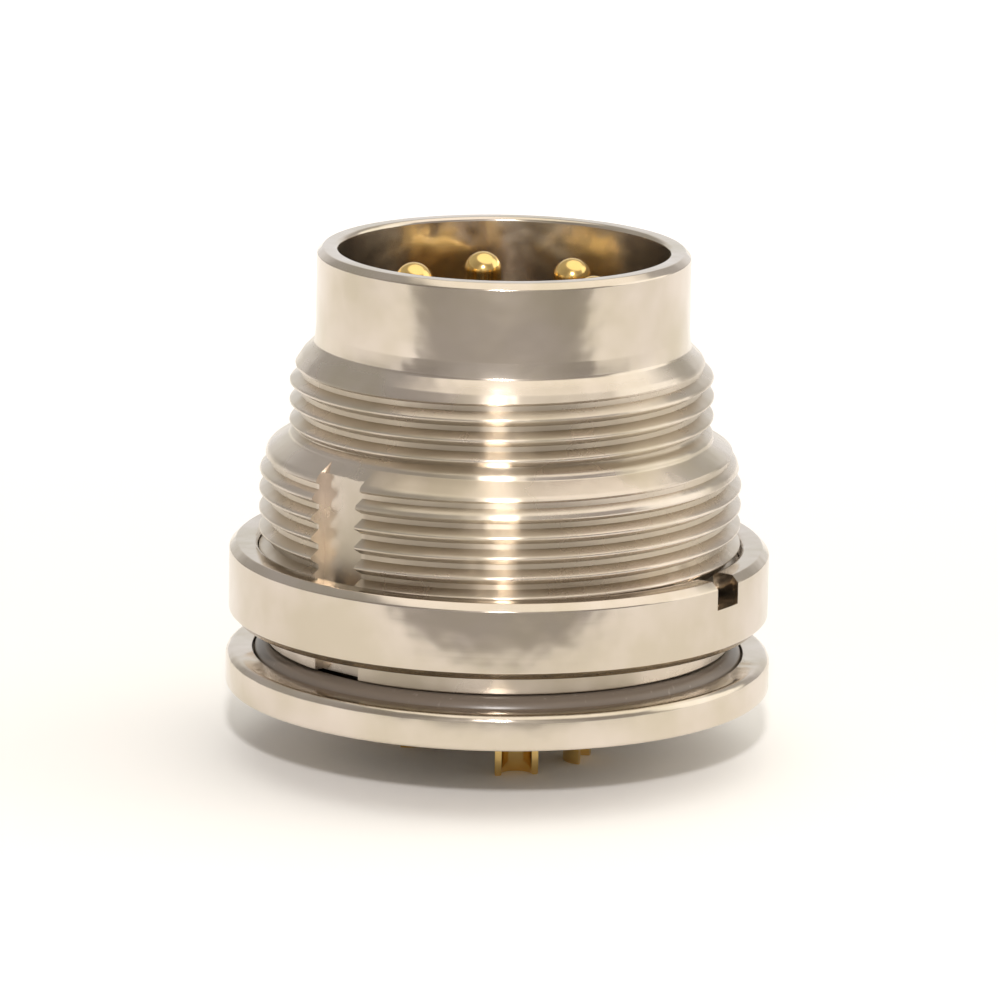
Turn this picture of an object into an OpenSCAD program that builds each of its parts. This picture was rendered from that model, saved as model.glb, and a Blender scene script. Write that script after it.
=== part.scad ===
// Panel-mount circular connector, male contacts.
// The origin is the centre of the panel face, which is the top of the flange. +Z is the mating direction.
// The gap in the ring of contacts, with its polarising key, looks along -Y.

/* [Sleeve] */
// Outer diameter of the plain sleeve round the contacts
sleeve_d = 13.9; // [13.4:0.05:14.2]
// Bore of the sleeve
sleeve_bore_d = 12.3; // [11.9:0.05:12.6]
// Length of the plain sleeve
sleeve_len = 3.25; // [2:0.05:8]
// Chamfer round the outside of the rim
rim_chamfer = 0.25; // [0.1:0.05:0.35]
// Chamfer inside the rim
rim_inner_chamfer = 0.17; // [0.05:0.01:0.25]

/* [Threads] */
// Pitch of both threads
pitch = 0.75; // [0.5:0.05:0.8]
// Major diameter of the coupling thread
coupling_d = 15.8; // [15.4:0.05:16.2]
// Length of the coupling thread
coupling_len = 2.35; // [1.7:0.05:6]
// Height of the slight taper above the coupling thread
coupling_taper_h = 0.9; // [0.4:0.05:1.5]
// Fall in radius over that taper
coupling_taper = 0.45; // [0.1:0.05:0.5]
// Height of the cone from the taper up to the sleeve
lead_in_h = 0.55; // [0.3:0.05:1.5]
// Major diameter of the panel thread
panel_thread_d = 18; // [17.7:0.05:18.6]
// Length of the panel thread
panel_thread_len = 5.5; // [5:0.05:12]
// Height of the slight taper above the panel thread
panel_taper_h = 0.9; // [0.4:0.05:2]
// Fall in radius over that taper
panel_taper = 0.3; // [0.1:0.05:0.4]
// Height of the cone from the taper up to the coupling thread
shoulder_h = 0.5; // [0.3:0.05:1.5]

/* [Flange and neck] */
// Reach of the flange's edge beyond the ring nut's
flange_lip = 0.1; // [0.05:0.05:2]
// Thickness of the flange
flange_t = 1.35; // [1.2:0.05:3]
// Chamfer on the flange's lower edge
flange_chamfer = 0.12; // [0.05:0.01:0.2]
// Radius on the flange's upper edge
flange_round = 0.3; // [0.1:0.05:0.4]
// Depth of the plain neck below the panel thread's crests
neck_step = 0.3; // [0.2:0.05:0.5]
// Height of the neck's top above the panel face
neck_h = 1; // [0.8:0.05:1.4]
// Depth of the undercut that the seal snaps into, from the neck inwards
undercut_depth = 1; // [0.95:0.05:1.15]

/* [Keyway] */
// Width of the keyway milled down the panel thread
keyway_w = 2.2; // [1:0.1:3]
// Depth of the keyway below the thread's crests
keyway_depth = 0.8; // [0.5:0.05:0.9]
// Turn of the keyway from the middle of the gap in the contacts
keyway_turn = 4; // [-20:1:20]

/* [Ring nut] */
// Wall of the ring nut
nut_wall = 1.07; // [0.8:0.01:3]
// Height of the ring nut
nut_h = 2.85; // [2:0.05:4]
// Height of the nut's underside above the panel face
nut_lift = 1.25; // [0.6:0.05:3]
// Radial clearance between the nut's bore and the thread's crests
nut_fit = 0.03; // [0.01:0.01:0.1]
// Chamfer on the nut's upper edges
nut_chamfer = 0.25; // [0.1:0.05:0.4]
// Chamfer on the nut's lower edges
nut_foot_chamfer = 0.3; // [0.05:0.05:0.35]
// Number of spanner slots
nut_slots = 2; // [2:1:6]
// Width of a spanner slot
slot_w = 1.4; // [0.8:0.1:2.5]
// Depth of a spanner slot
slot_depth = 1.05; // [0.6:0.05:1.6]
// Turn of the nut about the axis
nut_turn = 103.7; // [0:0.1:360]

/* [Panel seal] */
// Section of the seal in the flange's groove
seal_section = 1.1; // [0.9:0.05:1.15]
// Height that the seal stands proud of the panel face
seal_proud = 0.35; // [0.25:0.05:0.6]
// Headroom between the seal and the neck above it
seal_headroom = 0.05; // [0.02:0.01:0.1]
// Width of the seal's groove, from the undercut outwards
seal_groove_w = 1.5; // [1.3:0.05:1.6]
// Clearance between the seal and the outer wall of its groove
seal_fit = 0.05; // [0.02:0.01:0.1]

/* [Contacts] */
// Diameter of a contact pin
pin_d = 1.4; // [1:0.05:1.6]
// Diameter of the circle that the contacts stand on
contact_circle_d = 7; // [6.6:0.1:7.4]
// Number of contacts
contacts = 5; // [2:1:5]
// Angle from one contact to the next
contact_step = 60; // [50:1:60]
// Depth of the pin tips below the rim
tip_depth = 0.8; // [0.3:0.05:3]
// Diameter of the shank that is held in the carrier
shank_d = 1.8; // [1.45:0.05:2.1]
// Diameter of the collar clamped between the carriers
collar_d = 2.3; // [2.1:0.05:2.6]
// Thickness of the collar
collar_h = 1; // [0.5:0.05:1.4]
// Diameter of a solder cup
cup_d = 1.65; // [1.4:0.05:1.9]
// Bore of a solder cup
cup_bore_d = 1.15; // [0.8:0.05:1.25]
// Depth of a solder cup's bore
cup_depth = 2.6; // [1.5:0.1:3.2]
// Length of the scoop cut in the outer side of a cup
cup_scoop = 2; // [1:0.1:2.4]
// Length of the cups behind the flange
cup_len = 2.7; // [2.2:0.05:5]

/* [Carriers] */
// Wall between the undercut and the bore behind the contact chamber
rear_wall = 0.95; // [0.8:0.05:1.2]
// Height of the step that the front carrier seats on
step_z = 6.6; // [6.3:0.05:7]
// Thickness of the front carrier's flange
carrier_flange_t = 2; // [1.6:0.05:2.4]
// Height of the front carrier's boss above the step
boss_h = 1; // [0.4:0.05:2]
// Depth of the rear carrier's back face below the panel face
carrier_recess = 0.35; // [0.1:0.05:0.5]
// Radial clearance between the carriers and the shell
carrier_fit = 0.05; // [0.02:0.01:0.1]
// Radial clearance between the contacts and the carriers
contact_fit = 0.02; // [0.01:0.01:0.05]
// Gap left between faces that touch
touch_gap = 0.01; // [0.005:0.005:0.02]
// Width of the polarising key
key_w = 2.2; // [1.2:0.1:3]
// Thickness of the polarising key
key_t = 1; // [0.6:0.05:1.1]
// Height of the polarising key above the boss
key_h = 5; // [2:0.1:6]
// Section of the seal round the rear carrier
carrier_seal_section = 1; // [0.8:0.05:1.2]
// Squeeze of the seal round the rear carrier
carrier_seal_squeeze = 0.1; // [0.05:0.01:0.15]
// Height of the middle of that seal above the panel face
carrier_seal_z = 1.8; // [1:0.1:3]

/* [Retaining ring] */
// Thickness of the retaining ring
ring_t = 0.58; // [0.4:0.02:0.6]
// Width of the retaining ring's band
ring_w = 1.1; // [0.8:0.05:1.4]
// Depth of the retaining ring's groove in the rear bore
ring_groove_depth = 0.4; // [0.2:0.05:0.5]
// Radial clearance between the ring and the floor of its groove
ring_fit = 0.05; // [0.02:0.01:0.1]
// Gap in the retaining ring
ring_gap = 2.2; // [1:0.1:4]

/* [Hidden] */
$fn = 96;

sleeve_r = sleeve_d / 2;
sleeve_bore_r = sleeve_bore_d / 2;
coupling_r = coupling_d / 2;
panel_thread_r = panel_thread_d / 2;
neck_r = panel_thread_r - neck_step;
undercut_r = neck_r - undercut_depth;
nut_bore_r = panel_thread_r + nut_fit;
nut_r = nut_bore_r + nut_wall;
flange_r = nut_r + flange_lip;
rear_bore_r = undercut_r - rear_wall;
seal_r = seal_section / 2;

// Heights of the shell's outline, from the flange up
undercut_h = seal_proud + seal_headroom;
panel_thread_z = neck_h + neck_step;
panel_taper_z = panel_thread_z + panel_thread_len;
shoulder_z = panel_taper_z + panel_taper_h;
coupling_z = shoulder_z + shoulder_h;
coupling_taper_z = coupling_z + coupling_len;
lead_in_z = coupling_taper_z + coupling_taper_h;
sleeve_z = lead_in_z + lead_in_h;
rim_z = sleeve_z + sleeve_len;

// 60 degree thread form, with a crest of an eighth and a root of a quarter of the pitch
thread_crest = pitch / 8;
thread_root = pitch / 4;
thread_flank = (pitch - thread_crest - thread_root) / 2;
thread_depth = thread_flank / tan(30);

// The panel seal lies on its groove's floor, against the outer wall
seal_z = seal_proud - seal_r;
seal_groove_r = undercut_r + seal_groove_w;
seal_centre_r = seal_groove_r - seal_fit - seal_r;
seal_groove_z = seal_z - seal_r - touch_gap;

// Carriers, from the step down
carrier_top_z = step_z + boss_h;
joint_z = step_z - carrier_flange_t;
carrier_back_z = -carrier_recess;
carrier_r = rear_bore_r - carrier_fit;
boss_r = sleeve_bore_r - carrier_fit;
carrier_seal_gap = carrier_seal_section - carrier_seal_squeeze;
carrier_seal_floor_r = rear_bore_r - carrier_seal_gap;
carrier_seal_groove_h = carrier_seal_section + 2 * seal_fit;

// The retaining ring bears on the rear carrier's back face
ring_groove_r = rear_bore_r + ring_groove_depth;
ring_outer_r = ring_groove_r - ring_fit;
ring_groove_h = ring_t + 2 * touch_gap;

// Contacts
pin_r = pin_d / 2;
shank_r = shank_d / 2;
collar_r = collar_d / 2;
cup_r = cup_d / 2;
tip_z = rim_z - tip_depth;
cup_end_z = -flange_t - cup_len;
contact_circle_r = contact_circle_d / 2;
first_contact = 180 - contact_step * (contacts - 1) / 2;

// Points of a thread's outline, from bottom_z up to top_z, with whole grooves centred between the two
function thread_points(r, bottom_z, top_z) =
    let (turns = floor((top_z - bottom_z - thread_crest) / pitch),
         start = (bottom_z + top_z - turns * pitch + thread_crest) / 2)
    [for (i = [0:turns - 1])
        let (z = start + i * pitch)
        each [[r, z],
              [r - thread_depth, z + thread_flank],
              [r - thread_depth, z + thread_flank + thread_root],
              [r, z + 2 * thread_flank + thread_root]]];

// Turns what follows from -Y by the given angle towards +X
module at_angle(angle) {
    rotate([0, 0, angle]) children();
}

// Turns what follows to the place of contact number i, with the outward direction along -Y
module at_contact(i) {
    at_angle(first_contact + contact_step * (i - 1)) translate([0, -contact_circle_r, 0]) children();
}

// The turned body: flange, seal groove, neck, both threads and sleeve outside, stepped bore inside
module shell_outline() {
    intersection() {
        translate([flange_r - flange_round, -flange_round]) circle(r = flange_round);
        translate([flange_r - flange_round, -flange_round]) square(flange_round);
    }
    polygon(concat(
        [[rear_bore_r, -flange_t],
         [flange_r - flange_chamfer, -flange_t],
         [flange_r, flange_chamfer - flange_t],
         [flange_r, -flange_round],
         [flange_r - flange_round, -flange_round],
         [flange_r - flange_round, 0],
         [seal_groove_r, 0],
         [seal_groove_r, seal_groove_z],
         [undercut_r, seal_groove_z],
         [undercut_r, undercut_h],
         [neck_r, undercut_h],
         [neck_r, neck_h],
         [panel_thread_r, panel_thread_z]],
        thread_points(panel_thread_r, panel_thread_z, panel_taper_z),
        [[panel_thread_r, panel_taper_z],
         [panel_thread_r - panel_taper, shoulder_z],
         [coupling_r, coupling_z]],
        thread_points(coupling_r, coupling_z, coupling_taper_z),
        [[coupling_r, coupling_taper_z],
         [coupling_r - coupling_taper, lead_in_z],
         [sleeve_r, sleeve_z],
         [sleeve_r, rim_z - rim_chamfer],
         [sleeve_r - rim_chamfer, rim_z],
         [sleeve_bore_r + rim_inner_chamfer, rim_z],
         [sleeve_bore_r, rim_z - rim_inner_chamfer],
         [sleeve_bore_r, step_z],
         [rear_bore_r, step_z],
         [rear_bore_r, carrier_back_z + touch_gap],
         [ring_groove_r, carrier_back_z + touch_gap],
         [ring_groove_r, carrier_back_z + touch_gap - ring_groove_h],
         [rear_bore_r, carrier_back_z + touch_gap - ring_groove_h]]));
}

module shell() {
    color("#cfc4b4")
    difference() {
        rotate_extrude() shell_outline();
        at_angle(keyway_turn)
            translate([-keyway_w / 2, -flange_r, undercut_h / 2])
                cube([keyway_w, flange_r - panel_thread_r + keyway_depth, coupling_z]);
    }
}

// Ring nut with spanner slots cut down through its upper face
module ring_nut() {
    top = nut_lift + nut_h;
    color("#d8cfc2")
    difference() {
        rotate_extrude() polygon([
            [nut_bore_r + nut_foot_chamfer, nut_lift],
            [nut_r - nut_foot_chamfer, nut_lift],
            [nut_r, nut_lift + nut_foot_chamfer],
            [nut_r, top - nut_chamfer],
            [nut_r - nut_chamfer, top],
            [nut_bore_r + nut_chamfer, top],
            [nut_bore_r, top - nut_chamfer],
            [nut_bore_r, nut_lift + nut_foot_chamfer]]);
        for (i = [0:nut_slots - 1])
            at_angle(nut_turn + i * 360 / nut_slots)
                translate([-slot_w / 2, -nut_r - 1, top - slot_depth])
                    cube([slot_w, nut_r - nut_bore_r + 2, slot_depth + 1]);
    }
}

module panel_seal() {
    color("#3c342c")
    rotate_extrude() translate([seal_centre_r, seal_z]) circle(r = seal_r);
}

// A round hole for each contact, of the given radius, from z up by h
module contact_holes(r, z, h) {
    for (i = [1:contacts]) at_contact(i) translate([0, 0, z]) cylinder(r = r, h = h);
}

// Front half of the insulator: flange against the step, boss in the chamber and polarising key
module carrier_front() {
    color("#2b2826")
    difference() {
        union() {
            translate([0, 0, joint_z]) cylinder(r = carrier_r, h = carrier_flange_t);
            translate([0, 0, step_z]) cylinder(r = boss_r, h = boss_h);
            intersection() {
                translate([0, 0, step_z])
                    difference() {
                        cylinder(r = boss_r, h = boss_h + key_h);
                        translate([0, 0, boss_h]) cylinder(r = boss_r - key_t, h = key_h + 1);
                    }
                translate([-key_w / 2, -boss_r - 1, step_z])
                    cube([key_w, boss_r, boss_h + key_h]);
            }
        }
        contact_holes(shank_r + contact_fit, joint_z - 1, carrier_flange_t + boss_h + 2);
        contact_holes(collar_r + contact_fit, joint_z - 1, collar_h + contact_fit + 1);
    }
}

// Rear half of the insulator, with a groove for its seal
module carrier_rear() {
    color("#2b2826")
    difference() {
        translate([0, 0, carrier_back_z]) cylinder(r = carrier_r, h = joint_z - carrier_back_z);
        translate([0, 0, carrier_seal_z - carrier_seal_groove_h / 2])
            difference() {
                cylinder(r = rear_bore_r, h = carrier_seal_groove_h);
                translate([0, 0, -1]) cylinder(r = carrier_seal_floor_r, h = carrier_seal_groove_h + 2);
            }
        contact_holes(cup_r + contact_fit, carrier_back_z - 1, joint_z - carrier_back_z + 2);
    }
}

// Seal squeezed between the rear carrier and the shell, so flattened on both sides
module carrier_seal() {
    color("#3c342c")
    rotate_extrude()
        intersection() {
            translate([rear_bore_r - carrier_seal_gap / 2, carrier_seal_z])
                circle(d = carrier_seal_section);
            translate([carrier_seal_floor_r + touch_gap, carrier_seal_z - carrier_seal_section])
                square([carrier_seal_gap - 2 * touch_gap, 2 * carrier_seal_section]);
        }
}

module retaining_ring() {
    color("#9a958c")
    translate([0, 0, carrier_back_z - ring_t])
        difference() {
            cylinder(r = ring_outer_r, h = ring_t);
            translate([0, 0, -1]) cylinder(r = ring_outer_r - ring_w, h = ring_t + 2);
            translate([-ring_gap / 2, 0, -1]) cube([ring_gap, ring_outer_r + 1, ring_t + 2]);
        }
}

// Right half of a contact's outline: domed pin, shank, collar and cup
module contact_outline() {
    translate([0, cup_end_z]) square([cup_r, joint_z - cup_end_z]);
    translate([0, joint_z]) square([collar_r, collar_h]);
    translate([0, joint_z]) square([shank_r, carrier_top_z - joint_z]);
    translate([0, joint_z]) square([pin_r, tip_z - pin_r - joint_z]);
    intersection() {
        translate([0, tip_z - pin_r]) circle(r = pin_r);
        translate([0, tip_z - pin_r]) square(pin_r);
    }
}

module contact(i) {
    color("#e0b95c")
    at_contact(i)
        difference() {
            rotate_extrude() contact_outline();
            translate([0, 0, cup_end_z - 1]) cylinder(d = cup_bore_d, h = cup_depth + 1);
            translate([-cup_r - 1, -cup_r - 1, cup_end_z - 1])
                cube([cup_d + 2, cup_r + 1, cup_scoop + 1]);
        }
}

shell();
ring_nut();
panel_seal();
carrier_front();
carrier_rear();
carrier_seal();
retaining_ring();
contact(1);  // pin_1
contact(2);  // pin_2
contact(3);  // pin_3
contact(4);  // pin_4
contact(5);  // pin_5
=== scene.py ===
import bmesh
import bpy
import numpy as np
from mathutils import Matrix, Vector


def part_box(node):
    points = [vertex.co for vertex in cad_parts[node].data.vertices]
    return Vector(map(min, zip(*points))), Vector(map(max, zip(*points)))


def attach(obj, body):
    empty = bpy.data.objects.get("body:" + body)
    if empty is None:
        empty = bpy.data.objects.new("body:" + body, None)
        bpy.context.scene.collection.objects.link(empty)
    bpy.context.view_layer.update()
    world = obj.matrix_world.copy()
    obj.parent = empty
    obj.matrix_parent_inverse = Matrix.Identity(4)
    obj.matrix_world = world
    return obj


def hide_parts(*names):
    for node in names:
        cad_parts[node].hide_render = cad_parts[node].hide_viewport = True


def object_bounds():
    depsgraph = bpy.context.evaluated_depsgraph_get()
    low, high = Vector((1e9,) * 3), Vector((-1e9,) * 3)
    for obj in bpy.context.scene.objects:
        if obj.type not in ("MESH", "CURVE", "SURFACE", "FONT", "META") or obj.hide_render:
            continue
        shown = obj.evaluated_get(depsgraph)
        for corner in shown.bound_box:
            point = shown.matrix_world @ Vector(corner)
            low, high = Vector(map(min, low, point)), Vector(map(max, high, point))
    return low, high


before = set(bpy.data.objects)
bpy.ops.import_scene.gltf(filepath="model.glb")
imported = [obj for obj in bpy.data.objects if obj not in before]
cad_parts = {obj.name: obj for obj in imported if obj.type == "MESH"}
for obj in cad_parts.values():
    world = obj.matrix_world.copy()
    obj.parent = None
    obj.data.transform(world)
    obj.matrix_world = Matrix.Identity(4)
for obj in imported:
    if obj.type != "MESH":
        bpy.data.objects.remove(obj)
cad_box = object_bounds()
MM = 0.001


# ---------------------------------------------------------------------------------------------
# Shell. One brass bar turned to a flange, a neck and two threaded steps below a plain sleeve,
# with a keyway milled down the larger thread, then nickel plated all over.
# ---------------------------------------------------------------------------------------------

# Radii in millimetres
SLEEVE_R = 6.95
SLEEVE_FOOT_R = 7.0
SLEEVE_BORE_R = 6.15
LEAD_IN_R = 7.45
COUPLING_R = 7.9
SHOULDER_R = 8.7
PANEL_THREAD_R = 9.0
NECK_R = 8.7
UNDERCUT_R = 7.7
SEAL_GROOVE_R = 9.2
REAR_BORE_R = 6.75
RING_GROOVE_R = 7.15

# Heights above the panel face
RING_GROOVE_LOW_Z = -0.94
SEAL_GROOVE_Z = -0.76
RING_GROOVE_TOP_Z = -0.34
UNDERCUT_Z = 0.4
NECK_Z = 1.0
THREAD_FOOT_Z = 1.3
STEP_Z = 6.6
PANEL_TAPER_Z = 6.8
SHOULDER_Z = 7.7
COUPLING_Z = 8.2
COUPLING_TAPER_Z = 10.55
LEAD_IN_Z = 11.25
SLEEVE_Z = 11.72
SLEEVE_LOW_Z = 12.7

# How far up the sleeve's foot flares out, and the chamfer of its rim
SLEEVE_FLARE = 0.6
RIM_CHAMFER = 0.22

# Threads: their form, the height where each one's cut ends, how far its root lies above its foot,
# and how far above its foot the cut starts and over what height it deepens
PITCH = 0.75
THREAD_DEPTH = 0.406
THREAD_FLANK = np.radians(30)
PANEL_THREAD_END_Z = 7.78
COUPLING_END_Z = 11.2
PANEL_PHASE = 0.31
COUPLING_PHASE = 0.225
PANEL_RUN_IN = (0, 0.3)
COUPLING_RUN_IN = (0.05, 0.4)

# Keyway: half its width, how far its flat floor lies from the axis, and its turn from -Y; then
# the columns of a patch over it and round the rest of the turn
KEY_HALF_W = 1.1
KEY_FLOOR = 8.2
KEY_TURN = np.radians(4)
KEY_COLUMNS = 9
REST_COLUMNS = 281

# What counts as nothing: a fillet and a height in millimetres, a gap and an edge in metres
LEAST_FILLET = 1e-4
LEVEL = 1e-4
WELD = 2e-7
SLIVER = 1e-8

NICKEL_COLOUR = (0.68, 0.618, 0.537)

# Shares of the nickel's colour in its fresh patches, in its yellowed ones, and down in a thread,
# the last one darker as painted shade in the thread's roots
FRESH = (1.04, 1.02, 1.04)
YELLOWED = (0.91, 0.89, 0.83)
ROOT_SHADE = (0.76, 0.73, 0.68)

flange_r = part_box("shell")[1][0] / MM
rim_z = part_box("shell")[1][2] / MM
flange_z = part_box("shell")[0][2] / MM


def rounded(corners, steps=6):
    """Points (r, z) of an outline given as corners (r, z, fillet). Each corner becomes an arc
    that touches both of its edges, about a centre on the line that halves its angle."""
    corners = np.array(corners, float)
    points = [corners[:1, :2]]
    for before, here, after in zip(corners[:-2], corners[1:-1], corners[2:]):
        u = (before - here)[:2] / np.linalg.norm((before - here)[:2])
        v = (after - here)[:2] / np.linalg.norm((after - here)[:2])
        half = np.arccos(np.clip(u @ v, -1, 1)) / 2
        fillet = max(here[2], LEAST_FILLET)
        centre = here[:2] + (u + v) / np.linalg.norm(u + v) * fillet / np.sin(half)
        start = here[:2] + u * fillet / np.tan(half) - centre
        end = here[:2] + v * fillet / np.tan(half) - centre
        t = np.linspace(0, 1, steps)[:, None]
        arc = start * (1 - t) + end * t
        points.append(centre + arc / np.linalg.norm(arc, axis=1)[:, None] * fillet)
    return np.vstack(points + [corners[-1:, :2]])


def grid_faces(rows, cols, wrap=True, first=0):
    """Quads of a grid of rows by columns, joined round from the last column to the first if it
    wraps, and numbered from a first vertex."""
    i, j = np.meshgrid(np.arange(rows - 1), np.arange(cols if wrap else cols - 1), indexing="ij")
    k = (j + 1) % cols
    quads = np.stack([i * cols + j, i * cols + k, (i + 1) * cols + k, (i + 1) * cols + j], -1)
    return quads.reshape(-1, 4) + first


def solid(name, patches, sharp=35):
    """A mesh object from patches (x, y, z in millimetres, wrap), welded where their edges meet,
    smooth apart from the edges that turn by more than sharp degrees."""
    verts, faces, count = [], [], 0
    for x, y, z, wrap in patches:
        verts.append(np.stack([x, y, z], -1).reshape(-1, 3) * MM)
        faces.append(grid_faces(*x.shape, wrap, count))
        count += x.size
    mesh = bpy.data.meshes.new(name)
    mesh.from_pydata(np.vstack(verts).tolist(), [], np.vstack(faces).tolist())
    bm = bmesh.new()
    bm.from_mesh(mesh)
    bmesh.ops.remove_doubles(bm, verts=bm.verts, dist=WELD)
    bmesh.ops.dissolve_degenerate(bm, edges=bm.edges, dist=SLIVER)
    bmesh.ops.recalc_face_normals(bm, faces=bm.faces)
    bm.to_mesh(mesh)
    bm.free()
    mesh.shade_smooth()
    mesh.set_sharp_from_angle(angle=np.radians(sharp))
    piece = bpy.data.objects.new(name, mesh)
    bpy.context.collection.objects.link(piece)
    return piece


# Each column's place, from edge to edge of the keyway and then round to the first edge again
over_key = np.linspace(-1, 1, KEY_COLUMNS)
rest_of_turn = np.linspace(0, 1, REST_COLUMNS)
edge_turn = np.arcsin(KEY_HALF_W / PANEL_THREAD_R) / (2 * np.pi)


def shell_place(r, z):
    """x, y, z of a patch of the shell whose radius and height are given for each row and column.
    Over the keyway a point lies at its own distance across and, from the undercut up, no further
    out than the flat floor. The other columns share the rest of the turn evenly."""
    n = KEY_COLUMNS
    across = KEY_HALF_W * over_key * np.ones((len(r), 1))
    out = np.sqrt(r[:, :n] ** 2 - across ** 2)
    out = np.where(z[:, :n] > UNDERCUT_Z - LEVEL, np.minimum(out, KEY_FLOOR), out)
    edge = np.arcsin(KEY_HALF_W / r[:, n:])
    angle = edge + rest_of_turn * (2 * np.pi - 2 * edge)
    across = np.hstack([across, r[:, n:] * np.sin(angle)])
    out = np.hstack([out, r[:, n:] * np.cos(angle)])
    x = across * np.cos(KEY_TURN) + out * np.sin(KEY_TURN)
    y = across * np.sin(KEY_TURN) - out * np.cos(KEY_TURN)
    return x, y, z


def plain_patch(outline):
    """A turned stretch of the shell: the same radius and height all round."""
    width = np.ones(KEY_COLUMNS + REST_COLUMNS)
    return (*shell_place(outline[:, :1] * width, outline[:, 1:] * width), True)


# Rows of a thread over one pitch, close together where the form bends
half_form = np.array([0, 0.06, 0.094, 0.13, 0.2, 0.28, 0.32, 0.35])
form = np.concatenate([half_form, PITCH - half_form[::-1]])[:-1]


def softest(a, b, width=0.05):
    """The smaller of a and b, with the corner where they cross rounded off."""
    gap = np.maximum(width - np.abs(a - b), 0)
    return np.minimum(a, b) - gap * gap / (4 * width)


def thread_patch(blank, crest_r, low, high, phase, run_in, cut_by_key):
    """A threaded stretch from low to high. Rows follow the helix, one pitch up a turn, and stop at
    both ends. The radius is the blank's, cut back to a V with a flat root of a quarter pitch. The
    cut starts and deepens as run_in says. Over a keyway each row drops back by a pitch and closes,
    and without one it runs on into the next."""
    turn_rest = edge_turn + rest_of_turn * (1 - 2 * edge_turn)
    turn_key = over_key * edge_turn
    if cut_by_key:
        turn_key = 0.5 - over_key * (0.5 - edge_turn)
    turn = np.concatenate([turn_key, turn_rest])
    pitches = np.arange(-2, int((high - low) / PITCH) + 2)
    rows = (low + phase + pitches[:, None] * PITCH + form).ravel()
    z = np.clip(rows[:, None] + PITCH * turn, low, high)
    place = (z - PITCH * turn - low - phase) / PITCH
    from_root = np.abs((place + 0.5) % 1 - 0.5) * PITCH
    v_form = crest_r - THREAD_DEPTH + np.maximum(from_root - PITCH / 8, 0) / np.tan(THREAD_FLANK)
    stock = np.interp(z, blank[:, 1], blank[:, 0])
    start, deepen = run_in
    strength = np.clip((z - low - start) / deepen, 0, 1)
    strength = strength * strength * (3 - 2 * strength)
    r = stock - strength * (stock - softest(stock, v_form))
    return (*shell_place(r, z), cut_by_key)


lower = rounded([
    (REAR_BORE_R, flange_z, 0), (flange_r, flange_z, 0.14), (flange_r, 0, 0.3),
    (SEAL_GROOVE_R, 0, 0.05), (SEAL_GROOVE_R, SEAL_GROOVE_Z, 0.05),
    (UNDERCUT_R, SEAL_GROOVE_Z, 0.05), (UNDERCUT_R, UNDERCUT_Z, 0.05),
    (NECK_R, UNDERCUT_Z, 0.06), (NECK_R, NECK_Z, 0)])
blank = rounded([
    (NECK_R, NECK_Z, 0), (PANEL_THREAD_R, THREAD_FOOT_Z, 0.1),
    (PANEL_THREAD_R, PANEL_TAPER_Z, 0.5), (SHOULDER_R, SHOULDER_Z, 0.35),
    (COUPLING_R, COUPLING_Z, 0.1), (COUPLING_R, COUPLING_TAPER_Z, 0.5),
    (LEAD_IN_R, LEAD_IN_Z, 0.4), (SLEEVE_FOOT_R, SLEEVE_Z, 0.2),
    (SLEEVE_R, SLEEVE_Z + SLEEVE_FLARE, 0.6), (SLEEVE_R, rim_z, 0)])
upper = rounded([
    (SLEEVE_R, SLEEVE_LOW_Z, 0), (SLEEVE_R, rim_z - RIM_CHAMFER, 0.1),
    (SLEEVE_R - RIM_CHAMFER, rim_z, 0.1), (SLEEVE_BORE_R, rim_z, 0.16),
    (SLEEVE_BORE_R, STEP_Z, 0.05), (REAR_BORE_R, STEP_Z, 0.02),
    (REAR_BORE_R, RING_GROOVE_TOP_Z, 0.01), (RING_GROOVE_R, RING_GROOVE_TOP_Z, 0.01),
    (RING_GROOVE_R, RING_GROOVE_LOW_Z, 0.01), (REAR_BORE_R, RING_GROOVE_LOW_Z, 0.01),
    (REAR_BORE_R, flange_z, 0)])


def blank_between(low, high):
    """The blank's outline from one height to another."""
    z = np.concatenate([[low], blank[(blank[:, 1] > low) & (blank[:, 1] < high), 1], [high]])
    return np.stack([np.interp(z, blank[:, 1], blank[:, 0]), z], -1)


shell = solid("turned_shell", [
    plain_patch(lower),
    thread_patch(blank, PANEL_THREAD_R, NECK_Z, PANEL_THREAD_END_Z, PANEL_PHASE, PANEL_RUN_IN,
                 cut_by_key=True),
    plain_patch(blank_between(PANEL_THREAD_END_Z, COUPLING_Z)),
    thread_patch(blank, COUPLING_R, COUPLING_Z, COUPLING_END_Z, COUPLING_PHASE, COUPLING_RUN_IN,
                 cut_by_key=False),
    plain_patch(blank_between(COUPLING_END_Z, SLEEVE_LOW_Z)),
    plain_patch(upper)])


# The depth kept here sets the painted shade down in the threads.
def mark_thread_depth(piece):
    """Keep at each point how deep it lies in a thread: the bar's radius at that height less the
    point's own, over the thread's depth. It is 0 in the keyway and away from the threads."""
    place = np.empty(len(piece.data.vertices) * 3, np.float32)
    piece.data.vertices.foreach_get("co", place)
    x, y, z = place.reshape(-1, 3).T / MM
    r = np.hypot(x, y)
    across = np.abs(x * np.cos(KEY_TURN) + y * np.sin(KEY_TURN))
    in_keyway = (across < KEY_HALF_W + 0.01) & (y < 0) & (z < COUPLING_Z)
    threaded = (z > NECK_Z) & (z < COUPLING_END_Z) & (r > SLEEVE_R) & ~in_keyway
    depth = (np.interp(z, blank[:, 1], blank[:, 0]) - r) / THREAD_DEPTH
    layer = piece.data.attributes.new("thread_depth", "FLOAT", "POINT")
    layer.data.foreach_set("value", np.where(threaded, np.clip(depth, 0, 1), 0).astype(np.float32))


mark_thread_depth(shell)
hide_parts("shell")
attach(shell, "body")


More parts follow.
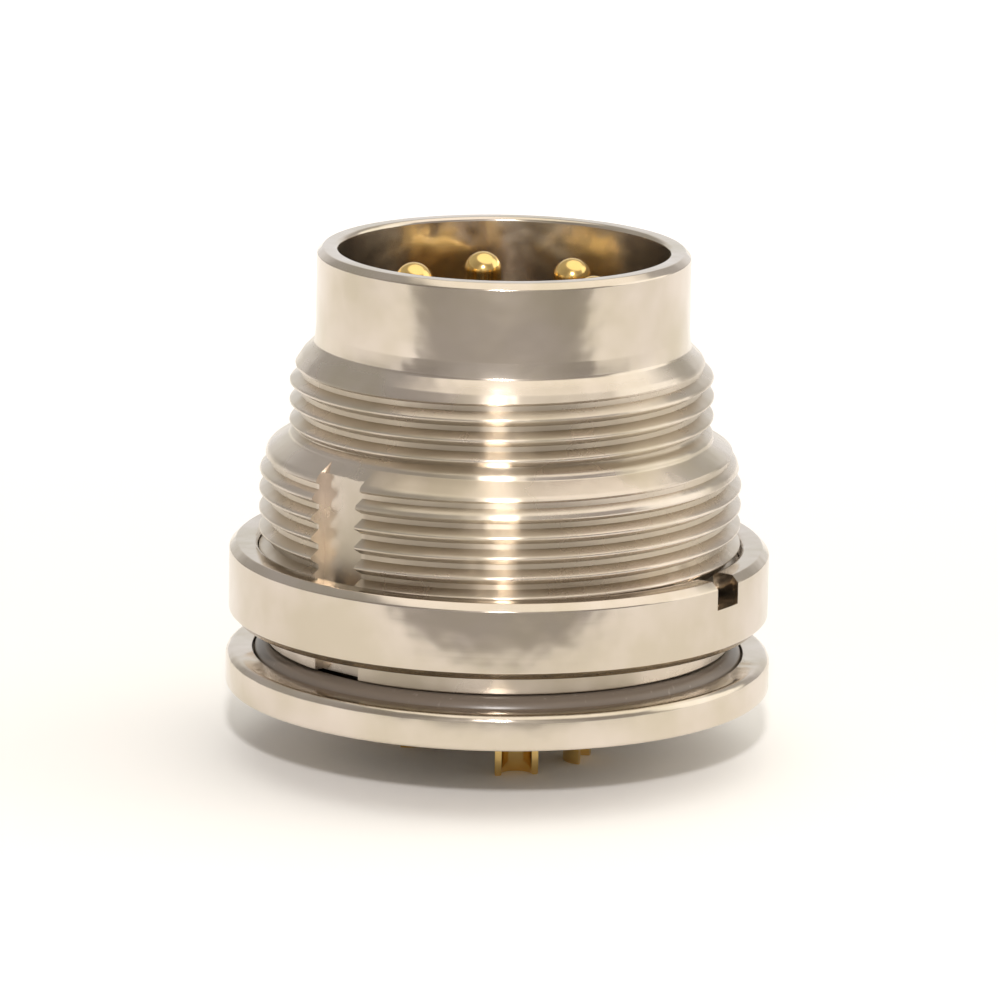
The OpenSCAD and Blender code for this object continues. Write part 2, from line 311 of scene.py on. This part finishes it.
def node(tree, kind, inputs=None, **settings):
    """A shader node with its settings and its inputs, which are values or other nodes' sockets."""
    made = tree.nodes.new(kind)
    for key, value in settings.items():
        setattr(made, key, value)
    for key, value in (inputs or {}).items():
        if isinstance(value, bpy.types.NodeSocket):
            tree.links.new(value, made.inputs[key])
        else:
            made.inputs[key].default_value = value
    return made


def noise(tree, place, scale, detail):
    """Noise between 0 and 1 at a place, with scale cells a metre and detail finer layers."""
    inputs = {"Vector": place, "Scale": scale, "Detail": detail}
    return node(tree, "ShaderNodeTexNoise", inputs).outputs[0]


def remap(tree, value, start=(0, 1), end=(0, 1), **settings):
    """A value carried from the range start to the range end, and held inside it."""
    inputs = {"Value": value, "From Min": start[0], "From Max": start[1],
              "To Min": end[0], "To Max": end[1]}
    return node(tree, "ShaderNodeMapRange", inputs, **settings).outputs[0]


def blend(tree, factor, first, second):
    """Two colours mixed by a factor. Each is three numbers or another node's socket."""
    inputs = {"Factor": factor}
    for key, colour in (("A", first), ("B", second)):
        inputs[key] = (*colour, 1) if isinstance(colour, tuple) else colour
    return node(tree, "ShaderNodeMix", inputs, data_type="RGBA").outputs["Result"]


def maths(tree, operation, *values):
    """The outcome of one operation on values or other nodes' sockets."""
    return node(tree, "ShaderNodeMath", dict(enumerate(values)), operation=operation).outputs[0]


def bump(tree, height, distance, strength, **beneath):
    """A normal tilted as if the surface rose by a height times distance metres, on top of another
    Normal if one is given."""
    inputs = {"Height": height, "Distance": distance, "Strength": strength, **beneath}
    return node(tree, "ShaderNodeBump", inputs).outputs[0]


def object_place(tree):
    """The place of a point on its own piece, in metres."""
    return node(tree, "ShaderNodeTexCoord").outputs["Object"]


def finish(name, colour, metallic, roughness):
    """A new material with its Principled shader, and that shader's tree."""
    material = bpy.data.materials.new(name)
    material.use_nodes = True
    shader = material.node_tree.nodes["Principled BSDF"]
    shader.inputs["Base Color"].default_value = (*colour, 1)
    shader.inputs["Metallic"].default_value = metallic
    shader.inputs["Roughness"].default_value = roughness
    return material, material.node_tree, shader


def share_of(colour, share):
    """A colour with each of its three numbers taken by its own share."""
    return tuple(float(part * of) for part, of in zip(colour, share))


def nickel(name, colour, plain, threaded, thread_top):
    """Nickel plate over turned brass, with the roughness of its plain walls and of its threads,
    which reach up to thread_top. Fine rings run round the axis, from noise that changes only with
    radius and height, and draw a reflection out up and down. The plate wavers a little and is
    yellower and duller in soft patches. Down in a thread its colour darkens with depth, painted
    shade in the roots."""
    material, tree, shader = finish(name, colour, metallic=1.0, roughness=plain)
    across_rings = 0.25
    shader.inputs["Anisotropic Rotation"].default_value = across_rings
    round_axis = node(tree, "ShaderNodeTangent", direction_type="RADIAL", axis="Z")
    tree.links.new(round_axis.outputs[0], shader.inputs["Tangent"])
    place = object_place(tree)
    x, y, z = node(tree, "ShaderNodeSeparateXYZ", {0: place}).outputs
    flat = node(tree, "ShaderNodeCombineXYZ", {0: x, 1: y}).outputs[0]
    radius = node(tree, "ShaderNodeVectorMath", {0: flat}, operation="LENGTH").outputs["Value"]
    ring = node(tree, "ShaderNodeCombineXYZ", {0: radius, 1: z}).outputs[0]
    marks = noise(tree, ring, scale=9000.0, detail=4.0)
    waver = noise(tree, place, scale=450.0, detail=2.0)
    patches = noise(tree, place, scale=300.0, detail=6.0)
    wavy = bump(tree, waver, distance=7e-5, strength=1.0)
    tree.links.new(bump(tree, marks, distance=5e-7, strength=1.0, Normal=wavy),
                   shader.inputs["Normal"])
    spread = remap(tree, patches, (0.38, 0.62))
    tint = blend(tree, spread, share_of(colour, FRESH), share_of(colour, YELLOWED))
    # Painted shade: the colour darkens with the depth kept in thread_depth, most in the thread
    # roots.
    cut = node(tree, "ShaderNodeAttribute", attribute_name="thread_depth").outputs["Fac"]
    tree.links.new(blend(tree, cut, tint, share_of(colour, ROOT_SHADE)), shader.inputs["Base Color"])
    fade = 0.3
    below = remap(tree, z, ((thread_top + fade) * MM, (thread_top - fade) * MM))
    over = remap(tree, z, (0, UNDERCUT_Z * MM))
    zone = maths(tree, "MULTIPLY", below, over)
    stretch = (0.5, 0.92)
    tree.links.new(remap(tree, zone, end=stretch), shader.inputs["Anisotropic"])
    coarse = remap(tree, zone, end=(plain, threaded))
    dull = remap(tree, patches, (0.35, 0.7), (0.85, 1.3))
    tree.links.new(maths(tree, "MULTIPLY", coarse, dull), shader.inputs["Roughness"])
    return material


shell.data.materials.append(nickel(
    "nickel_plate", NICKEL_COLOUR, plain=0.17, threaded=0.28, thread_top=SLEEVE_Z))


# ---------------------------------------------------------------------------------------------
# Panel seal. A black rubber ring snapped into the undercut below the neck, where it fills the
# flange's groove and stands proud of the panel face. It picks up a little dust.
# ---------------------------------------------------------------------------------------------

RUBBER_COLOUR = (0.19, 0.155, 0.125)
DUST_COLOUR = (0.26, 0.225, 0.19)

seal_box = [np.array(corner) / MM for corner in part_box("panel_seal")]
seal_r = (seal_box[1][2] - seal_box[0][2]) / 2


def turned(outline, columns=288):
    """A patch that carries an outline (r, z) once round the axis."""
    angle = np.linspace(0, 2 * np.pi, columns, endpoint=False)
    x = outline[:, :1] * np.sin(angle)
    y = -outline[:, :1] * np.cos(angle)
    return x, y, outline[:, 1:] * np.ones(columns), True


def circle_outline(centre_r, centre_z, radius, points=40):
    """A full circle of section in the plane of radius and height."""
    t = np.linspace(0, 2 * np.pi, points)
    return np.stack([centre_r + radius * np.cos(t), centre_z + radius * np.sin(t)], -1)


seal = solid("seal_ring", [turned(circle_outline(
    seal_box[1][0] - seal_r, (seal_box[0][2] + seal_box[1][2]) / 2, seal_r))])
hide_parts("panel_seal")
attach(seal, "body")


def rubber(name):
    """Black rubber, faintly brown, with a fine grain and scattered pale specks of dust."""
    material, tree, shader = finish(name, RUBBER_COLOUR, metallic=0.0, roughness=0.3)
    place = object_place(tree)
    grain = noise(tree, place, scale=9000.0, detail=3.0)
    tree.links.new(bump(tree, grain, distance=2e-6, strength=0.5), shader.inputs["Normal"])
    dust = remap(tree, noise(tree, place, scale=3500.0, detail=1.0), (0.68, 0.74))
    tree.links.new(blend(tree, dust, RUBBER_COLOUR, DUST_COLOUR), shader.inputs["Base Color"])
    return material


seal_rubber = rubber("seal_rubber")
seal.data.materials.append(seal_rubber)


# ---------------------------------------------------------------------------------------------
# Ring nut. A turned brass ring that screws down the larger thread and clamps the panel, with two
# slots across its upper face for a pin spanner. It is plated as the shell is.
# ---------------------------------------------------------------------------------------------

# The nut's outline starts and ends in its bore, NUT_SEAM above its foot
# Painted shade: the shell's nickel made a little darker, so that the nut renders darker than the
# shell.
NUT_SHADED_NICKEL = (0.65, 0.589, 0.512)
NUT_BORE_R = 9.03
NUT_SEAM = 1
NUT_FOOT_CHAMFER = 0.3
NUT_CHAMFER = 0.26
SLOT_HALF_W = 0.7
SLOT_DEPTH = 1.05
SLOT_TURN = np.radians(103.7)
SLOT_COLUMNS = 5
WALL_COLUMNS = 150

nut_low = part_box("ring_nut")[0][2] / MM
nut_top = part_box("ring_nut")[1][2] / MM
nut_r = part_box("ring_nut")[1][0] / MM
nut_outline = rounded([
    (NUT_BORE_R, nut_low + NUT_SEAM, 0), (NUT_BORE_R, nut_low + NUT_FOOT_CHAMFER, 0.05),
    (NUT_BORE_R + NUT_FOOT_CHAMFER, nut_low, 0.05), (nut_r - NUT_FOOT_CHAMFER, nut_low, 0.06),
    (nut_r, nut_low + NUT_FOOT_CHAMFER, 0.06), (nut_r, nut_top - NUT_CHAMFER, 0.1),
    (nut_r - NUT_CHAMFER, nut_top, 0.1), (NUT_BORE_R, nut_top, 0.22),
    (NUT_BORE_R, nut_low + NUT_SEAM, 0)])


def slotted_half(outline, start):
    """Half a turn of a ring with one slot in its upper face, centred on the start angle. Over the
    slot a point lies at its own distance across, no higher than the slot's floor. The other
    columns share the rest of the half turn evenly."""
    r, z = outline[:, :1], outline[:, 1:]
    slot = np.arcsin(SLOT_HALF_W * np.linspace(-1, 1, SLOT_COLUMNS) / r)
    edge = np.arcsin(SLOT_HALF_W / r)
    wall = edge + np.linspace(0, 1, WALL_COLUMNS) * (np.pi - 2 * edge)
    angle = np.hstack([slot, wall, np.pi - edge]) + start
    floor = np.minimum(z, nut_top - SLOT_DEPTH)
    high = np.hstack([floor * np.ones(SLOT_COLUMNS), z * np.ones(WALL_COLUMNS), floor])
    return r * np.sin(angle), -r * np.cos(angle), high, False


nut = solid("slotted_nut", [slotted_half(nut_outline, SLOT_TURN),
                            slotted_half(nut_outline, SLOT_TURN + np.pi)])
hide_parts("ring_nut")
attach(nut, "nut")
nut.data.materials.append(nickel(
    "nickel_plate_nut", NUT_SHADED_NICKEL, plain=0.16, threaded=0.16, thread_top=0))


# ---------------------------------------------------------------------------------------------
# Carriers. Two black mouldings that clamp the contacts' collars between them. The front one
# seats on the shell's inner step and has the polarising key, the rear one holds the cups.
# ---------------------------------------------------------------------------------------------

PLASTIC_COLOUR = (0.022, 0.02, 0.019)
BOSS_R = 6.1
BOSS_Z = 7.6
KEY_W = 2.2
KEY_T = 1.0
KEY_SINK = 0.02
KEY_CROWN = ((0.12, 1), (0.03, 0.97), (0, 0.9))
SEAL_SEAT_R = 5.85
SEAL_SEAT_Z = (1.25, 2.35)

front_box = [np.array(corner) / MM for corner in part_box("carrier_front")]
rear_box = [np.array(corner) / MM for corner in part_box("carrier_rear")]
carrier_r = front_box[1][0]


def moulded_plastic(name):
    """Black moulded plastic with a fine spark-eroded grain."""
    material, tree, shader = finish(name, PLASTIC_COLOUR, metallic=0.0, roughness=0.5)
    grain = noise(tree, object_place(tree), scale=12000.0, detail=4.0)
    tree.links.new(bump(tree, grain, distance=4e-6, strength=0.6), shader.inputs["Normal"])
    tree.links.new(remap(tree, grain, end=(0.4, 0.62)), shader.inputs["Roughness"])
    return material


def key_patch():
    """The polarising key: a rib on the boss's edge with arcs inside and out. Its section is
    carried up from a little below the boss's face, drawn in towards the top as KEY_CROWN says
    (depth below the top, share of the section), and closed there."""
    half = np.linspace(-1, 1, 9)
    outer = np.arcsin(KEY_W / 2 * half / BOSS_R)
    inner = np.arcsin(KEY_W / 2 * half[::-1] / (BOSS_R - KEY_T))
    angle = np.concatenate([outer, inner])
    radius = np.concatenate([BOSS_R + 0 * half, BOSS_R - KEY_T + 0 * half])
    depth, share = np.array(KEY_CROWN).T
    height = np.array([BOSS_Z - KEY_SINK, *(front_box[1][2] - depth)])
    shrink = np.array([1, *share])[:, None]
    middle = BOSS_R - KEY_T / 2
    x = shrink * radius * np.sin(angle)
    y = -(middle + shrink * (radius * np.cos(angle) - middle))
    top = 0 * angle
    x = np.vstack([x, top])
    y = np.vstack([y, top - middle])
    z = np.vstack([height[:, None] + top, top + height[-1]])
    return x, y, z, True


carrier_front = solid("carrier_front_moulding", [
    turned(rounded([
        (0, BOSS_Z, 0), (BOSS_R, BOSS_Z, 0.12), (BOSS_R, STEP_Z, 0.02), (carrier_r, STEP_Z, 0.02),
        (carrier_r, front_box[0][2], 0.02), (0, front_box[0][2], 0)])),
    key_patch()])
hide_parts("carrier_front")
carrier_rear = solid("carrier_rear_moulding", [
    turned(rounded([
        (0, rear_box[1][2], 0), (carrier_r, rear_box[1][2], 0.02),
        (carrier_r, SEAL_SEAT_Z[1], 0.02), (SEAL_SEAT_R, SEAL_SEAT_Z[1], 0.02),
        (SEAL_SEAT_R, SEAL_SEAT_Z[0], 0.02), (carrier_r, SEAL_SEAT_Z[0], 0.02),
        (carrier_r, rear_box[0][2], 0.1), (0, rear_box[0][2], 0)]))])
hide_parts("carrier_rear")
plastic = moulded_plastic("carrier_plastic")
for carrier in (carrier_front, carrier_rear):
    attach(carrier, "body")
    carrier.data.materials.append(plastic)


# ---------------------------------------------------------------------------------------------
# Inner seal and retaining ring. The seal is squeezed between the rear carrier and the bore. The
# stamped steel ring springs into its groove behind the carrier and holds the whole stack in.
# ---------------------------------------------------------------------------------------------

# The seal's outline starts and ends on its lower face, at INNER_SEAL_SEAM_R
INNER_SEAL_R = 6.73
INNER_SEAL_BORE_R = 5.87
INNER_SEAL_FILLET = 0.3
INNER_SEAL_SEAM_R = 6.2
RING_GAP = 2.2
RING_W = 1.1
STEEL_COLOUR = (0.42, 0.41, 0.39)

inner_seal_low, inner_seal_top = (corner[2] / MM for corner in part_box("carrier_seal"))
inner_seal = solid("inner_seal_ring", [turned(rounded([
    (INNER_SEAL_SEAM_R, inner_seal_low, 0),
    (INNER_SEAL_R, inner_seal_low, INNER_SEAL_FILLET),
    (INNER_SEAL_R, inner_seal_top, INNER_SEAL_FILLET),
    (INNER_SEAL_BORE_R, inner_seal_top, INNER_SEAL_FILLET),
    (INNER_SEAL_BORE_R, inner_seal_low, INNER_SEAL_FILLET),
    (INNER_SEAL_SEAM_R, inner_seal_low, 0)]))])
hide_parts("carrier_seal")
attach(inner_seal, "body")
inner_seal.data.materials.append(seal_rubber)

ring_low, ring_top = (corner[2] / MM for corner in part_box("retaining_ring"))
ring_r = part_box("retaining_ring")[1][0] / MM


def part_turn(section, middle, start, end, columns):
    """A section (r, z) carried round the axis from a start to an end angle, both measured from +Y
    towards +X, and drawn in to its middle to close both ends."""
    angle = np.linspace(start, end, columns)[:, None]
    angle = np.vstack([angle[:1], angle, angle[-1:]])
    share = np.ones_like(angle)
    share[[0, -1]] = 0
    r = middle[0] + share * (section[:, 0] - middle[0])
    z = middle[1] + share * (section[:, 1] - middle[1])
    return r * np.sin(angle), r * np.cos(angle), z, False


# The ring's section, then the ring from one side of the gap at +Y to the other
ring_section = rounded([
    (ring_r - RING_W / 2, ring_low, 0), (ring_r, ring_low, 0.08), (ring_r, ring_top, 0.05),
    (ring_r - RING_W, ring_top, 0.05), (ring_r - RING_W, ring_low, 0.08),
    (ring_r - RING_W / 2, ring_low, 0)], steps=4)
half_gap = np.arcsin(RING_GAP / 2 / ring_r)
retaining_ring = solid("spring_ring", [part_turn(
    ring_section, ring_section.mean(axis=0), half_gap, 2 * np.pi - half_gap, columns=240)])
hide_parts("retaining_ring")
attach(retaining_ring, "body")


def spring_steel(name):
    """Stamped spring steel, grey and dull, mottled by its heat treatment."""
    material, tree, shader = finish(name, STEEL_COLOUR, metallic=1.0, roughness=0.35)
    mottle = noise(tree, object_place(tree), scale=1800.0, detail=5.0)
    tree.links.new(remap(tree, mottle, end=(0.25, 0.5)), shader.inputs["Roughness"])
    return material


retaining_ring.data.materials.append(spring_steel("spring_steel"))


# ---------------------------------------------------------------------------------------------
# Contacts. Five turned brass pins, gold plated, with domed tips towards the plug. Each has a
# shank held in the front carrier and a solder cup behind, scooped open on its outer side.
# ---------------------------------------------------------------------------------------------

GOLD_COLOUR = (0.92, 0.66, 0.25)
GOLD_PALE = (0.95, 0.70, 0.29)
GOLD_DEEP = (0.86, 0.58, 0.20)
CONTACTS = 5
CONTACT_STEP = 60
CONTACT_CIRCLE_R = 3.5
PIN_R = 0.7
DOME_SKIRT = 0.1
SHANK_R = 0.9
COLLAR_R = 1.15
COLLAR_Z = 4.6
COLLAR_H = 1
CUP_R = 0.825
CUP_BORE_R = 0.575
CUP_DEPTH = 2.6
CUP_SCOOP = 2.0

tip_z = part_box("pin_1")[1][2] / MM
cup_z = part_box("pin_1")[0][2] / MM
scoop_z = cup_z + CUP_SCOOP
dome = np.linspace(0, np.pi / 2, 16)
pin_outline = np.vstack([
    np.stack([PIN_R * np.sin(dome), tip_z - PIN_R + PIN_R * np.cos(dome)], -1),
    rounded([
        (PIN_R, tip_z - PIN_R - DOME_SKIRT, 0), (PIN_R, BOSS_Z, 0.01), (SHANK_R, BOSS_Z, 0.02),
        (SHANK_R, COLLAR_Z + COLLAR_H, 0.02), (COLLAR_R, COLLAR_Z + COLLAR_H, 0.05),
        (COLLAR_R, COLLAR_Z, 0.05), (CUP_R, COLLAR_Z, 0.02), (CUP_R, scoop_z, 0.04),
        (CUP_BORE_R, scoop_z, 0.04), (CUP_BORE_R, cup_z + CUP_DEPTH, 0.05),
        (0, cup_z + CUP_DEPTH, 0)])])

# The scooped end of a cup: the section of its wall, carried half round the inner side
cup_wall_r = (CUP_R + CUP_BORE_R) / 2
cup_wall = rounded([
    (cup_wall_r, cup_z, 0), (CUP_R, cup_z, 0.06), (CUP_R, scoop_z, 0.01),
    (CUP_BORE_R, scoop_z, 0.01), (CUP_BORE_R, cup_z, 0.06), (cup_wall_r, cup_z, 0)], steps=4)
half_cup = part_turn(
    cup_wall, (cup_wall_r, (cup_z + scoop_z) / 2), -np.pi / 2, np.pi / 2, columns=30)


def contact_patches(turn):
    """A contact's patches, moved out to its place on the circle, turn from -Y towards +X."""
    placed = []
    for x, y, z, wrap in (turned(pin_outline, columns=64), half_cup):
        out = CONTACT_CIRCLE_R - y
        placed.append((x * np.cos(turn) + out * np.sin(turn),
                       x * np.sin(turn) - out * np.cos(turn), z, wrap))
    return placed


def gold_plate(name):
    """Gold over turned brass: deep yellow and bright, mottled in soft patches."""
    material, tree, shader = finish(name, GOLD_COLOUR, metallic=1.0, roughness=0.16)
    mottle = noise(tree, object_place(tree), scale=900.0, detail=4.0)
    tree.links.new(remap(tree, mottle, end=(0.1, 0.26)), shader.inputs["Roughness"])
    tree.links.new(blend(tree, mottle, GOLD_PALE, GOLD_DEEP), shader.inputs["Base Color"])
    return material


gold = gold_plate("gold_plate")
for number in range(1, CONTACTS + 1):
    contact = solid(f"contact_{number}", contact_patches(np.radians(CONTACT_STEP * number)))
    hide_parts(f"pin_{number}")
    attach(contact, "body")
    contact.data.materials.append(gold)


# ---------------------------------------------------------------------------------------------
# Studio. A white sheet under and behind, with one lamp over the camera and soft light all round.
# Past the sheet's front edge, reflections find a grey table. The camera looks down a little,
# through a long lens.
# ---------------------------------------------------------------------------------------------

CAMERA_TURN = np.radians(47)
CAMERA_OUT = 0.25285
CAMERA_RISE = 0.06812
CAMERA_PITCH = np.radians(13.008)
CAMERA_ROLL = np.radians(1.0)
CAMERA_LENS = 249.9
CAMERA_NEAR = 0.01

floor_z = cad_box[0][2]
forward = Vector((-np.sin(CAMERA_TURN), np.cos(CAMERA_TURN), 0))
sideways = Vector((np.cos(CAMERA_TURN), np.sin(CAMERA_TURN), 0))
upright = Vector((0, 0, 1))

look = forward * np.cos(CAMERA_PITCH) - upright * np.sin(CAMERA_PITCH)
above = forward * np.sin(CAMERA_PITCH) + upright * np.cos(CAMERA_PITCH)
right = sideways * np.cos(CAMERA_ROLL) + above * np.sin(CAMERA_ROLL)
up = above * np.cos(CAMERA_ROLL) - sideways * np.sin(CAMERA_ROLL)
camera = bpy.data.objects.new("camera", bpy.data.cameras.new("camera"))
camera.data.lens = CAMERA_LENS
camera.data.clip_start = CAMERA_NEAR
standpoint = -forward * CAMERA_OUT + upright * (CAMERA_RISE + floor_z)
camera.matrix_world = Matrix.Translation(standpoint) @ \
    Matrix((right, up, -look)).transposed().to_4x4()
bpy.context.collection.objects.link(camera)
bpy.context.scene.camera = camera
bpy.context.scene.view_settings.view_transform = "Standard"

# Metres. Ahead of the object the sheet ends at a line that is straight in the middle and runs
# further out to each side. The line lies at EDGE_REACH or at EDGE_SLANT times the distance aside,
# whichever is more, and the sheet fades out over SHEET_EDGE past it.
FLOOR_HALF = 1.5
SHEET_EDGE = (0.0265, 0.0225)
EDGE_SLANT = 0.48
EDGE_REACH = 0.0065
SHEET_COLOUR = (0.93, 0.93, 0.92)
TABLE_COLOUR = (0.335, 0.328, 0.32)
WHITE = (1.0, 1.0, 1.0)

# The sheet's own glow, and between which places it grows from nothing. Behind the object they
# are negative.
GLOW = 0.25
GLOW_FROM = -0.02
GLOW_TO = -0.13


def along(tree, place, way):
    """How far a place or a direction lies along a way: the dot product of the two."""
    return node(tree, "ShaderNodeVectorMath", {0: place, 1: way},
                operation="DOT_PRODUCT").outputs["Value"]


def studio_floor():
    """A flat white sheet. Behind the object it glows a little, to stay white as the lamp's light
    falls off. In what metal reflects, and in the light that it gives back, it drops to a grey
    table a little way from the object towards the camera, where the picture ends."""
    mesh = bpy.data.meshes.new("floor")
    corners = [(x * FLOOR_HALF, y * FLOOR_HALF, floor_z)
               for x, y in ((-1, -1), (1, -1), (1, 1), (-1, 1))]
    mesh.from_pydata(corners, [], [(0, 1, 2, 3)])
    floor = bpy.data.objects.new("floor", mesh)
    bpy.context.collection.objects.link(floor)
    material = bpy.data.materials.new("floor")
    material.use_nodes = True
    tree = material.node_tree
    tree.nodes.remove(tree.nodes["Principled BSDF"])
    place = object_place(tree)
    ahead = along(tree, place, -forward)
    aside = maths(tree, "ABSOLUTE", along(tree, place, sideways))
    slant = maths(tree, "MULTIPLY_ADD", aside, -EDGE_SLANT, ahead)
    edge = maths(tree, "MINIMUM", slant, maths(tree, "SUBTRACT", ahead, EDGE_REACH))
    sheet_part = remap(tree, edge, SHEET_EDGE, interpolation_type="SMOOTHSTEP")
    ground = blend(tree, sheet_part, TABLE_COLOUR, SHEET_COLOUR)
    seen = node(tree, "ShaderNodeLightPath").outputs
    mirrored = maths(tree, "MAXIMUM", seen["Is Glossy Ray"], seen["Is Transmission Ray"])
    on_sheet = maths(tree, "MULTIPLY", mirrored, sheet_part)
    white = maths(tree, "MAXIMUM", on_sheet, seen["Is Camera Ray"])
    sheet = node(tree, "ShaderNodeBsdfDiffuse", {"Color": blend(tree, white, ground, WHITE)})
    behind = remap(tree, ahead, (GLOW_FROM, GLOW_TO), (0, GLOW))
    glow = node(tree, "ShaderNodeEmission", {"Strength": maths(tree, "MULTIPLY", behind, white)})
    both = node(tree, "ShaderNodeAddShader", {0: sheet.outputs[0], 1: glow.outputs[0]})
    tree.links.new(both.outputs[0], tree.nodes["Material Output"].inputs["Surface"])
    mesh.materials.append(material)


studio_floor()

OBJECT_MIDDLE_Z = 0.006


def lamp(name, azimuth, elevation, distance, size, watts, colour):
    """A round soft lamp aimed at the object's middle, azimuth measured from the camera's."""
    light = bpy.data.lights.new(name, "AREA")
    light.shape = "DISK"
    light.size = size
    light.energy = watts
    light.color = colour
    turn = CAMERA_TURN + np.radians(azimuth)
    rise = np.radians(elevation)
    away = Vector((np.sin(turn) * np.cos(rise), -np.cos(turn) * np.cos(rise), np.sin(rise)))
    middle = Vector((0, 0, OBJECT_MIDDLE_Z))
    holder = bpy.data.objects.new(name, light)
    holder.matrix_world = Matrix.Translation(away * distance + middle) @ \
        away.to_track_quat("Z", "Y").to_matrix().to_4x4()
    bpy.context.collection.objects.link(holder)


lamp("camera_lamp", azimuth=0, elevation=29, distance=0.35, size=0.022, watts=0.66,
     colour=(1.0, 0.96, 0.93))

# The colour of the room's walls, from straight behind the object (0) round to behind the camera
WALLS = [(0.0, (1.0, 1.0, 1.0)), (0.05, (0.92, 0.9, 0.87)), (0.12, (0.52, 0.5, 0.47)),
         (0.4, (0.54, 0.52, 0.49)), (0.75, (0.40, 0.37, 0.345)), (0.85, (0.37, 0.34, 0.315)),
         (0.95, (0.6, 0.57, 0.53)), (1.0, (0.66, 0.63, 0.59))]
LEFT_SHARE = 0.84
CEILING_COLOUR = (1.36, 1.28, 1.14)
CEILING_EDGE = (0.72, 0.84)
CEILING_TILT = 0.2
WINDOW_COLOUR = (1.5, 1.45, 1.33)
WINDOW_EDGE = (0.88, 0.93)
window_way = sideways * 0.925 + forward * 0.163 + upright * 0.342

# Soft light all round: the walls, a little darker to the left, a bright ceiling that reaches
# lower on the right, and the soft patch of a window there
world = bpy.data.worlds.new("studio")
world.use_nodes = True
bpy.context.scene.world = world
tree = world.node_tree
direction = node(tree, "ShaderNodeTexCoord").outputs["Generated"]
height = node(tree, "ShaderNodeSeparateXYZ", {0: direction}).outputs[2]
aside = along(tree, direction, sideways)
round_room = remap(tree, along(tree, direction, -forward), (-1, 1))
walls = node(tree, "ShaderNodeValToRGB", {"Fac": round_room})
for place, colour in WALLS[1:-1]:
    walls.color_ramp.elements.new(place)
for element, (place, colour) in zip(walls.color_ramp.elements, WALLS):
    element.position = place
    element.color = (*colour, 1)
lean = remap(tree, aside, (-1, 1), (LEFT_SHARE, 1))
low_light = node(tree, "ShaderNodeVectorMath", {0: walls.outputs[0]}, operation="SCALE")
tree.links.new(lean, low_light.inputs["Scale"])
tilted = maths(tree, "MULTIPLY_ADD", aside, CEILING_TILT, height)
overhead = remap(tree, tilted, CEILING_EDGE, interpolation_type="SMOOTHSTEP")
light = blend(tree, overhead, low_light.outputs[0], CEILING_COLOUR)
pane = remap(tree, along(tree, direction, window_way), WINDOW_EDGE, interpolation_type="SMOOTHSTEP")
lit = blend(tree, pane, light, WINDOW_COLOUR)
tree.links.new(lit, tree.nodes["Background"].inputs["Color"])
